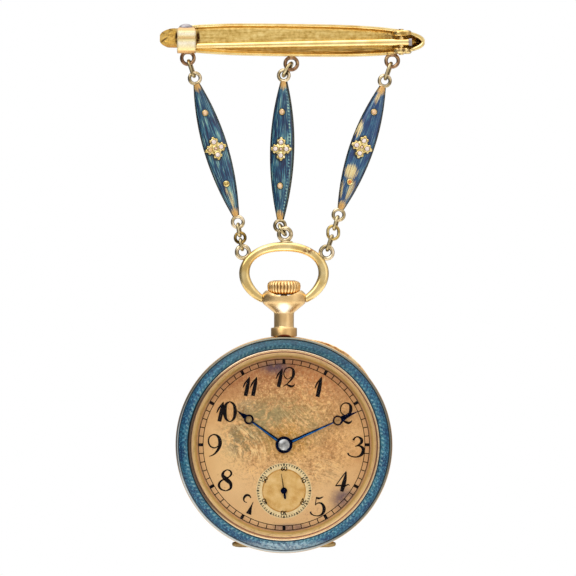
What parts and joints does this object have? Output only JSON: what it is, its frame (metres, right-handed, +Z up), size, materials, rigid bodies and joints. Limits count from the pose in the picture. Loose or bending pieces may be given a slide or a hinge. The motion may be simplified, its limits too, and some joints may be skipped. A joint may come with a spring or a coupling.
{
  "type": "pendant watch",
  "caption": "Open-face pendant watch with an enamelled bezel, hanging by its bow from enamelled panels and links under a bar brooch with a hinged pin.",
  "frame": {"origin": "the pin side of the bar brooch, on the middle plane of the watch and of its hanging line, where the bar lies against the cloth that it is pinned to", "axes": "+Z up along the hanging line, towards the brooch; +X to the right as the dial is read; the dial and the brooch's pin face -Y"},
  "size_m": [0.0408, 0.0083, 0.0816],
  "materials": {
    "gold": "satin gold with bright rims",
    "dull_gold": "worn gold wire",
    "rose_gold": "pinkish gold, fluted",
    "gilt_brass": "gilt",
    "blue_enamel": "translucent blue enamel over engraved gold",
    "clear_stone": "cut",
    "pearl": "lustrous",
    "crystal": "clear",
    "dial_enamel": "aged, stained, matt",
    "steel": "grey",
    "blued_steel": "blued steel"
  },
  "bodies": {
    "brooch": {"brooch_bar": "gold", "hinge_rivet": "dull_gold", "upper_link_left": "dull_gold", "upper_link_centre": "dull_gold", "upper_link_right": "dull_gold", "panel_left": "gold", "panel_centre": "gold", "panel_right": "gold", "enamel_left": "blue_enamel", "enamel_centre": "blue_enamel", "enamel_right": "blue_enamel", "stone_left_1": "clear_stone", "stone_left_2": "clear_stone", "stone_left_3": "clear_stone", "stone_left_4": "clear_stone", "stone_left_5": "clear_stone", "stone_centre_1": "clear_stone", "stone_centre_2": "clear_stone", "stone_centre_3": "clear_stone", "stone_centre_4": "clear_stone", "stone_centre_5": "clear_stone", "stone_right_1": "clear_stone", "stone_right_2": "clear_stone", "stone_right_3": "clear_stone", "stone_right_4": "clear_stone", "stone_right_5": "clear_stone", "pearl_left_upper": "pearl", "pearl_centre_upper": "pearl", "pearl_centre_lower": "pearl", "pearl_right_upper": "pearl", "left_link_upper": "dull_gold", "left_ring": "dull_gold", "left_link_lower": "dull_gold", "centre_link": "dull_gold", "right_link_upper": "dull_gold", "right_ring": "dull_gold", "right_link_lower": "dull_gold", "bow": "gold"},
    "pin": {"pin_stem": "gold"},
    "watch": {"case_band": "gold", "bezel": "gold", "bezel_enamel": "blue_enamel", "crystal": "crystal", "dial": "dial_enamel", "movement": "gilt_brass", "hinge_pin": "dull_gold"},
    "back": {"back_cover": "gold"},
    "stem": {"winding_stem": "steel"},
    "crown": {"crown": "rose_gold"},
    "hour": {"hour_hand": "blued_steel"},
    "minute": {"minute_hand": "blued_steel", "hand_cap": "steel"},
    "seconds": {"seconds_hand": "blued_steel"}
  },
  "joints": [
    {"name": "pin_swing", "type": "hinge", "parent": "brooch", "child": "pin", "pos_m": [0.01804, -0.00115, 0], "axis": [0, 0, 1], "range_deg": [0, 75]},
    {"name": "watch_swing", "type": "hinge", "parent": "brooch", "child": "watch", "pos_m": [0, 0, -0.0398], "axis": [1, 0, 0], "range_deg": [-90, 90]},
    {"name": "back_open", "type": "hinge", "parent": "watch", "child": "back", "pos_m": [0, 0.0018, -0.07774], "axis": [-1, 0, 0], "range_deg": [0, 100]},
    {"name": "crown_pull", "type": "slide", "parent": "watch", "child": "stem", "axis": [0, 0, 1], "range_m": [0, 0.0007]},
    {"name": "crown_turn", "type": "hinge", "parent": "stem", "child": "crown", "pos_m": [0, 0, -0.038], "axis": [0, 0, 1], "continuous": true},
    {"name": "minute_turn", "type": "hinge", "parent": "watch", "child": "minute", "pos_m": [0, 0, -0.06234], "axis": [0, 1, 0], "continuous": true},
    {"name": "hour_turn", "type": "hinge", "parent": "watch", "child": "hour", "pos_m": [0, 0, -0.06234], "axis": [0, 1, 0], "continuous": true},
    {"name": "seconds_turn", "type": "hinge", "parent": "watch", "child": "seconds", "pos_m": [0, 0, -0.06942], "axis": [0, 1, 0], "continuous": true}
  ],
  "couplings": [
    {"joint": "hour_turn", "follows": "minute_turn", "ratio": 0.083333}
  ]
}
